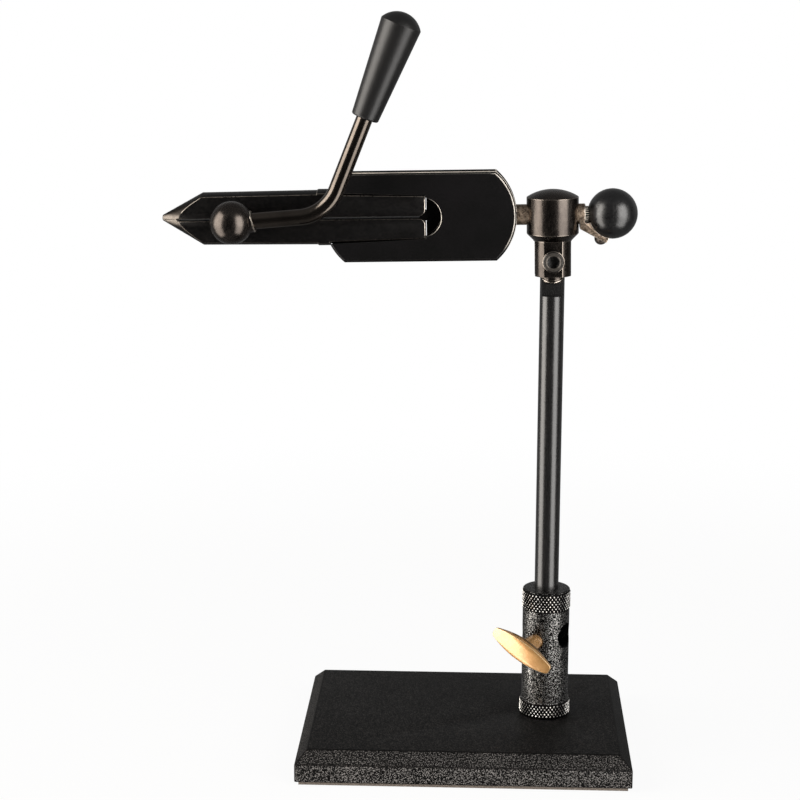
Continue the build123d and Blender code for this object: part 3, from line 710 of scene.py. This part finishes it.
def makeKnurlSkin(look, axisX):
    material, start = newMaterial("knurlSteel")
    place = objectPlace(start)
    reach = place.reachFrom((axisX, 0, 0), (1, 1, 0))
    roots = [band["radius"] for band in knurlBands.values()]
    low = place.along((0, 0, 1000.0)).ease(*look["between"], *roots)
    tip = (reach - low).ease(*look["tip"])
    grain = place.noise(look["grain"])
    closeMaterial(start, {
        "Base Color": (tip * grain.ease(*midNoise, *look["tipWearAndHighlight"])).tint(look["dark"], look["pale"]),
        "Metallic": 1.0,
        "Roughness": grain.ease(*midNoise, *look["rough"]),
        "Normal": grain.relief(look["depth"])})
    return material


def makeKnurlTree(skin, look):
    tree = bpy.data.node_groups.new("knurlBand", "GeometryNodeTree")
    for label in ("Radius", "Depth", "Low", "Row Rise", "Axis X", "Fill"):
        tree.interface.new_socket(name=label, in_out="INPUT", socket_type="NodeSocketFloat")
    for label in ("Around", "Rows"):
        tree.interface.new_socket(name=label, in_out="INPUT", socket_type="NodeSocketInt")
    tree.interface.new_socket(name="Band", in_out="OUTPUT", socket_type="NodeSocketGeometry")
    start = Sock(tree)
    given = start.node("NodeGroupInput")
    radius, around = given.of("Radius"), given.of("Around")
    index = start.node("GeometryNodeInputIndex")
    row = start.sum("FLOOR", index / around)
    angle = ((index % around) + (row % 2.0) * 0.5) * (2.0 * math.pi) / around
    place = start.node("ShaderNodeCombineXYZ", None, {
        0: start.sum("COSINE", angle) * radius + given.of("Axis X"),
        1: start.sum("SINE", angle) * radius,
        2: given.of("Low") + (row + 1.0) * given.of("Row Rise")})
    points = start.node("GeometryNodePoints", None, {"Count": around * given.of("Rows"), "Position": place})
    diamond = start.node("GeometryNodeMeshCone", {"fill_type": "NGON"}, {
        "Vertices": 4, "Side Segments": 1, "Radius Top": look["tip"], "Radius Bottom": 1.0, "Depth": 1.0})
    turn = start.node("FunctionNodeEulerToRotation", None, {
        0: start.node("ShaderNodeCombineXYZ", None, {0: 0.0, 1: math.pi / 2.0, 2: angle})})
    spread = start.node("FunctionNodeRandomValue", {"data_type": "FLOAT"},
                        {2: look["least"], 3: look["most"], "Seed": look["seed"]}, 1)
    size = start.node("ShaderNodeCombineXYZ", None, {
        0: given.of("Row Rise") * given.of("Fill"),
        1: radius * given.of("Fill") * spread * math.pi / around,
        2: given.of("Depth") * start.sum("MINIMUM", spread, 1.0)})
    band = start.node("GeometryNodeInstanceOnPoints", None, {
        "Points": points, "Instance": diamond, "Rotation": turn, "Scale": size})
    solid = start.node("GeometryNodeRealizeInstances", None, {0: band})
    dressed = start.node("GeometryNodeSetMaterial", None, {"Geometry": solid, "Material": skin})
    start.node("NodeGroupOutput", None, {0: dressed})
    return tree


def makeKnurls(bands, axisX, skin):
    tree = makeKnurlTree(skin, knurlDiamond)
    sockets = {item.name: item.identifier for item in tree.interface.items_tree if item.in_out == "INPUT"}
    for name, look in bands.items():
        piece = newPiece(name, bmesh.new(), [])
        modifier = piece.modifiers.new("knurlBand", "NODES")
        modifier.node_group = tree
        rise = (look["high"] - look["low"]) / (look["rows"] + 1) / 1000
        given = {"Radius": look["radius"] / 1000, "Depth": (look["peak"] - look["radius"]) / 1000,
                 "Low": look["low"] / 1000, "Row Rise": rise, "Axis X": axisX, "Fill": look["fill"],
                 "Around": look["around"], "Rows": look["rows"]}
        for label, value in given.items():
            modifier[sockets[label]] = value
        settle(piece)
        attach(piece, "base")


# the socket with its two bands turned down to the knurls' roots; a band is low, high, least reach, root
socketLook = {"axisX": stemX / 1000, "bands": ((13.4, 20.3, 9.9, 9.75), (57.5, 66.3, 9.4, 9.28)),
              "margin": 0.06, "upright": 0.5}


def makeSocket(look, skin, rootSkin):
    shape = mergedCopy("stem_socket")
    for corner in shape.verts:
        x, y, z = corner.co.x - look["axisX"], corner.co.y, corner.co.z * 1000
        reach = math.hypot(x, y) * 1000
        for low, high, least, root in look["bands"]:
            if low < z < high and reach > least:
                corner.co.x = look["axisX"] + x * root / reach
                corner.co.y = y * root / reach
    # the bands' upright root faces take the second skin, painted shade
    for side in shape.faces:
        middle = side.calc_center_median()
        reach = math.hypot(middle.x - look["axisX"], middle.y) * 1000
        upright = abs(side.normal.z) < look["upright"]
        for low, high, least, root in look["bands"]:
            if upright and low < middle.z * 1000 < high and reach > root - look["margin"]:
                side.material_index = 1
    piece = smoothed(newPiece("stemSocket", shape, [skin, rootSkin]), sharpFrom["socket"])
    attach(piece, "base")
    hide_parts("stem_socket")


# a ring turned about an axis from an outline of (along, radius) in mm
def turnedRing(name, centre, axis, outline, body, skin, steps=96):
    side = axis.orthogonal().normalized()
    other = axis.cross(side)
    shape = bmesh.new()
    rings = []
    for step in range(steps):
        turn = 2.0 * math.pi * step / steps
        away = side * math.cos(turn) + other * math.sin(turn)
        rings.append([shape.verts.new(centre + axis * (a / 1000) + away * (r / 1000)) for a, r in outline])
    count = len(outline)
    for step in range(steps):
        here, there = rings[step], rings[(step + 1) % steps]
        for k in range(count):
            shape.faces.new((here[k], here[(k + 1) % count], there[(k + 1) % count], there[k]))
    bmesh.ops.recalc_face_normals(shape, faces=shape.faces)
    piece = smoothed(newPiece(name, shape, [skin]), sharpFrom["ring"])
    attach(piece, body)


# chamfer with a painted highlight where the rod leaves the lever's ball, ring with a painted highlight round the
# pivot screw, moulding seam of the rear ball
leverRing = {"along": -122.33, "across": -13.75, "reach": 8.4, "slope": 3.9, "tilt": 13.9,
             "outline": ((-0.45, 3.7), (-0.45, 4.24), (-0.3, 4.27), (0.04, 3.92), (0.04, 3.7))}
pivotRing = {"centre": (stemX, 0.0, pivotHeight),
             "outline": ((9.35, 4.0), (9.42, 4.17), (9.62, 4.17), (9.72, 4.0))}
ballSeam = {"along": 22.9, "outline": ((-0.16, 9.55), (-0.07, 9.685), (0.07, 9.685), (0.16, 9.55)), "steps": 160}


def makeRings(ring, pivot, seam):
    slope, tilt = math.radians(ring["slope"]), math.radians(ring["tilt"])
    middle = headPoint(ring["along"] + ring["reach"] * math.cos(slope), ring["across"],
                       ring["reach"] * math.sin(slope))
    turnedRing("leverRing", middle, headAlong * math.cos(tilt) + headUp * math.sin(tilt),
               ring["outline"], "lever", finishes["wornEdgeAndHighlight"])
    turnedRing("pivotRing", Vector(mm(*pivot["centre"])), Vector((0, -1, 0)), pivot["outline"],
               "head", finishes["nickelEdge"])
    turnedRing("ballSeam", headPoint(seam["along"], 0.0, 0.0), headAlong, seam["outline"],
               "rotor", finishes["ballBlack"], seam["steps"])


# a round wire along a path of points
def wireAlong(name, path, radius, body, skin, sides=10):
    shape = bmesh.new()
    rings = []
    for k, point in enumerate(path):
        ahead = (path[min(k + 1, len(path) - 1)] - path[max(k - 1, 0)]).normalized()
        side = ahead.cross(Vector((0.0, 0.0, 1.0))).normalized()
        up = side.cross(ahead)
        rings.append([shape.verts.new(point + (side * math.cos(a) + up * math.sin(a)) * radius)
                      for a in (2.0 * math.pi * n / sides for n in range(sides))])
    for here, there in zip(rings, rings[1:]):
        for n in range(sides):
            shape.faces.new((here[n], here[(n + 1) % sides], there[(n + 1) % sides], there[n]))
    shape.faces.new(rings[0])
    shape.faces.new(rings[-1])
    bmesh.ops.recalc_face_normals(shape, faces=shape.faces)
    piece = smoothed(newPiece(name, shape, [skin]), sharpFrom["wire"])
    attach(piece, body)


# rounded rims of the lip under the fork, front and back, drawn as painted highlight lines, the lower one brighter;
# they sag in the middle
forkLip = {"radius": 4.62, "turn": 54.0, "low": 190.05, "sag": 1.15, "wire": 0.17,
           "step": 0.95, "points": 25}


def makeForkLip(look, bright, dull):
    widest = math.radians(look["turn"])
    for face, side in (("front", -1.0), ("back", 1.0)):
        for level, skin in enumerate((bright, dull)):
            path = []
            for k in range(look["points"]):
                turn = widest * (2.0 * k / (look["points"] - 1) - 1.0)
                lift = look["sag"] * (math.sin(turn) / math.sin(widest)) ** 2
                path.append(Vector(mm(stemX + look["radius"] * math.sin(turn),
                                      side * look["radius"] * math.cos(turn),
                                      look["low"] + look["step"] * level + lift)))
            wireAlong(face + "LipRim" + str(level), path, look["wire"] / 1000, "head", skin)


# dark tongue of the frame's web, seen between the rounded rear corners of the jaws
pocketTongue = {"rear": -48.3, "front": -51.2, "half": 2.0, "near": 0.6, "far": 4.2, "corner": 0.8,
                "steps": 4}


def makePocketTongue(look, skin):
    outline = []
    for x, t, start in ((look["rear"], look["half"], 0), (look["front"], look["half"], 90),
                        (look["front"], -look["half"], 180), (look["rear"], -look["half"], 270)):
        midX = x + (look["corner"] if x == look["front"] else -look["corner"])
        midT = t - math.copysign(look["corner"], t)
        for step in range(look["steps"] + 1):
            turn = math.radians(start + 90.0 * step / look["steps"])
            outline.append((midX + look["corner"] * math.cos(turn), midT + look["corner"] * math.sin(turn)))
    shape = bmesh.new()
    near = [shape.verts.new(headPoint(s, look["near"], t)) for s, t in outline]
    far = [shape.verts.new(headPoint(s, look["far"], t)) for s, t in outline]
    shape.faces.new(near)
    shape.faces.new(far)
    for k in range(len(outline)):
        n = (k + 1) % len(outline)
        shape.faces.new((near[k], near[n], far[n], far[k]))
    bmesh.ops.recalc_face_normals(shape, faces=shape.faces)
    piece = smoothed(newPiece("pocketTongue", shape, [skin]), sharpFrom["tongue"])
    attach(piece, "rotor")


# the scene is put together
makeCamera(photoCamera)
makeLights(softBoxes)
makeWorld(studioRoom)
makeFloor(paperFloor)
print("studio ready")

finishes = {"powderCoat": makePowderCoat("powderCoat", powderCoat),
            "powderEdge": makePowderCoat("powderEdge", powderEdge),
            "feltPad": makeFelt(feltPad), "flecked": makeFlecked(flecked), "jawBlack": makeJawSkin(jawLook),
            "frameWearAndHighlight": makeFrameWear(frameWearAndHighlight), "jawWearAndHighlight": makeJawWear(jawWearAndHighlight),
            "frameFace": makeFrameFace(frameFace), "screwFace": makeScrewFace(screwFace),
            "shaftGrey": makeShaftSkin("shaftGrey", shaftGrey),
            "shaftEdge": makeShaftSkin("shaftEdge", shaftEdge)}
finishes.update({name: makeMetal(name, look) for name, look in metalLooks.items()})
finishes.update({name: makePlain(name, look) for name, look in plainLooks.items()})
print("finishes ready:", len(finishes))

for name, look in edgedPieces.items():
    edgedCopy(name, look)
makeSocket(socketLook, finishes["flecked"], finishes["knurlRootShade"])
makeKnurls(knurlBands, socketLook["axisX"], makeKnurlSkin(knurlLook, socketLook["axisX"]))
makeRings(leverRing, pivotRing, ballSeam)
makePocketTongue(pocketTongue, finishes["frameBlack"])
makeForkLip(forkLip, finishes["wornEdgeAndHighlight"], finishes["nickelEdge"])
print("pieces ready")

nodeFinish = {
    "base_plate": "powderCoat", "base_pad": "feltPad", "socket_bolt": "zincSteel", "socket_washer": "zincSteel",
    "stem_socket": "flecked", "thumbscrew": "brass", "stem": "stemBlack",
    "head_block": "blackNickel", "pivot_screw": "screwFace", "drag_screw": "blackOxide", "drag_plug": "nylonWhite",
    "rotary_shaft": "shaftGrey", "rear_ball": "ballBlack", "knob_screw": "screwBronze",
    "head_frame": "frameFace", "frame_screw": "blackOxide", "upper_jaw": "jawBlack", "lower_jaw": "jawBlack",
    "cam_shaft": "blackNickel", "cam_washer": "zincSteel", "cam_clip": "zincSteel",
    "lever_ball": "blackNickel", "lever_rod": "rodNickel", "lever_grip": "gripBlack"}
for name, finish in nodeFinish.items():
    for slot in nodes[name].material_slots:
        slot.material = finishes[finish]
print("nodes dressed")
